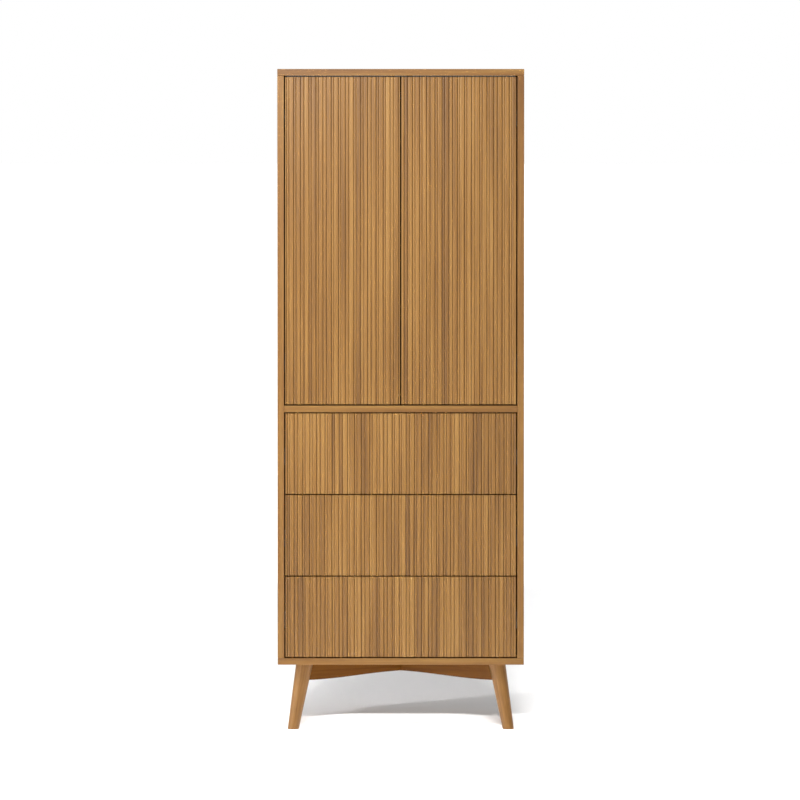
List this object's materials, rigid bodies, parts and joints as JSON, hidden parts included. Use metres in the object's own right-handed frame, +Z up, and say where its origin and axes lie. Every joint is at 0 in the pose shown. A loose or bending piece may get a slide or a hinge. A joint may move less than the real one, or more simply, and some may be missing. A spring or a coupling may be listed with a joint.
{
  "type": "armoire",
  "caption": "Tall narrow oak armoire with vertically fluted inset doors above fluted inset drawers, no handles, on splayed turned legs joined by crossed rails.",
  "frame": {"origin": "on the floor, under the middle of the carcass", "axes": "+Z up, +X to the right as seen from the front, -Y towards the viewer of the doors"},
  "size_m": [0.67, 0.5, 1.8],
  "materials": {
    "oak_veneer": "clear matt lacquer",
    "fluted_oak": "clear matt lacquer over vertical fluting",
    "solid_oak": "clear satin lacquer, turned",
    "drawer_plywood": "lacquered birch plywood",
    "back_board": "oak-faced board",
    "zinc_steel": "zinc plated pressed steel",
    "brushed_steel": "brushed steel tube",
    "latch_plastic": "moulded grey plastic"
  },
  "bodies": {
    "carcass": {"top_panel": "oak_veneer", "bottom_panel": "oak_veneer", "side_panel_left": "oak_veneer", "side_panel_right": "oak_veneer", "middle_shelf": "oak_veneer", "back_panel": "back_board", "leg_front_left": "solid_oak", "leg_front_right": "solid_oak", "leg_back_left": "solid_oak", "leg_back_right": "solid_oak", "cross_rail_lower": "solid_oak", "cross_rail_upper": "solid_oak", "hanging_rail": "brushed_steel", "rail_socket_left": "brushed_steel", "rail_socket_right": "brushed_steel", "hinge_arm_left_top": "zinc_steel", "hinge_arm_left_bottom": "zinc_steel", "hinge_arm_right_top": "zinc_steel", "hinge_arm_right_bottom": "zinc_steel", "latch_housing_left": "latch_plastic", "latch_housing_right": "latch_plastic", "drawer_top_runner_fixed_left": "zinc_steel", "drawer_top_runner_fixed_right": "zinc_steel", "drawer_middle_runner_fixed_left": "zinc_steel", "drawer_middle_runner_fixed_right": "zinc_steel", "drawer_bottom_runner_fixed_left": "zinc_steel", "drawer_bottom_runner_fixed_right": "zinc_steel"},
    "door_left": {"door_left": "fluted_oak", "hinge_cup_left_top": "zinc_steel", "hinge_cup_left_bottom": "zinc_steel"},
    "door_right": {"door_right": "fluted_oak", "hinge_cup_right_top": "zinc_steel", "hinge_cup_right_bottom": "zinc_steel"},
    "drawer_top": {"drawer_top_front": "fluted_oak", "drawer_top_box_front": "drawer_plywood", "drawer_top_box_back": "drawer_plywood", "drawer_top_side_left": "drawer_plywood", "drawer_top_side_right": "drawer_plywood", "drawer_top_bottom": "drawer_plywood", "drawer_top_runner_sliding_left": "zinc_steel", "drawer_top_runner_sliding_right": "zinc_steel"},
    "drawer_middle": {"drawer_middle_front": "fluted_oak", "drawer_middle_box_front": "drawer_plywood", "drawer_middle_box_back": "drawer_plywood", "drawer_middle_side_left": "drawer_plywood", "drawer_middle_side_right": "drawer_plywood", "drawer_middle_bottom": "drawer_plywood", "drawer_middle_runner_sliding_left": "zinc_steel", "drawer_middle_runner_sliding_right": "zinc_steel"},
    "drawer_bottom": {"drawer_bottom_front": "fluted_oak", "drawer_bottom_box_front": "drawer_plywood", "drawer_bottom_box_back": "drawer_plywood", "drawer_bottom_side_left": "drawer_plywood", "drawer_bottom_side_right": "drawer_plywood", "drawer_bottom_bottom": "drawer_plywood", "drawer_bottom_runner_sliding_left": "zinc_steel", "drawer_bottom_runner_sliding_right": "zinc_steel"},
    "latch_plunger_left": {"latch_plunger_left": "latch_plastic"},
    "latch_plunger_right": {"latch_plunger_right": "latch_plastic"}
  },
  "joints": [
    {"name": "door_left_hinge", "type": "hinge", "parent": "carcass", "child": "door_left", "pos_m": [-0.3136, -0.249, 0.8896], "axis": [0, 0, -1], "range_deg": [0, 110]},
    {"name": "door_right_hinge", "type": "hinge", "parent": "carcass", "child": "door_right", "pos_m": [0.3136, -0.249, 0.8896], "axis": [0, 0, 1], "range_deg": [0, 110]},
    {"name": "drawer_top_slide", "type": "slide", "parent": "carcass", "child": "drawer_top", "axis": [0, -1, 0], "range_m": [0, 0.34]},
    {"name": "drawer_middle_slide", "type": "slide", "parent": "carcass", "child": "drawer_middle", "axis": [0, -1, 0], "range_m": [0, 0.34]},
    {"name": "drawer_bottom_slide", "type": "slide", "parent": "carcass", "child": "drawer_bottom", "axis": [0, -1, 0], "range_m": [0, 0.34]},
    {"name": "latch_plunger_left_press", "type": "slide", "parent": "carcass", "child": "latch_plunger_left", "axis": [0, 1, 0], "range_m": [0, 0.003], "stiffness_N_per_m": 150},
    {"name": "latch_plunger_right_press", "type": "slide", "parent": "carcass", "child": "latch_plunger_right", "axis": [0, 1, 0], "range_m": [0, 0.003], "stiffness_N_per_m": 150}
  ]
}
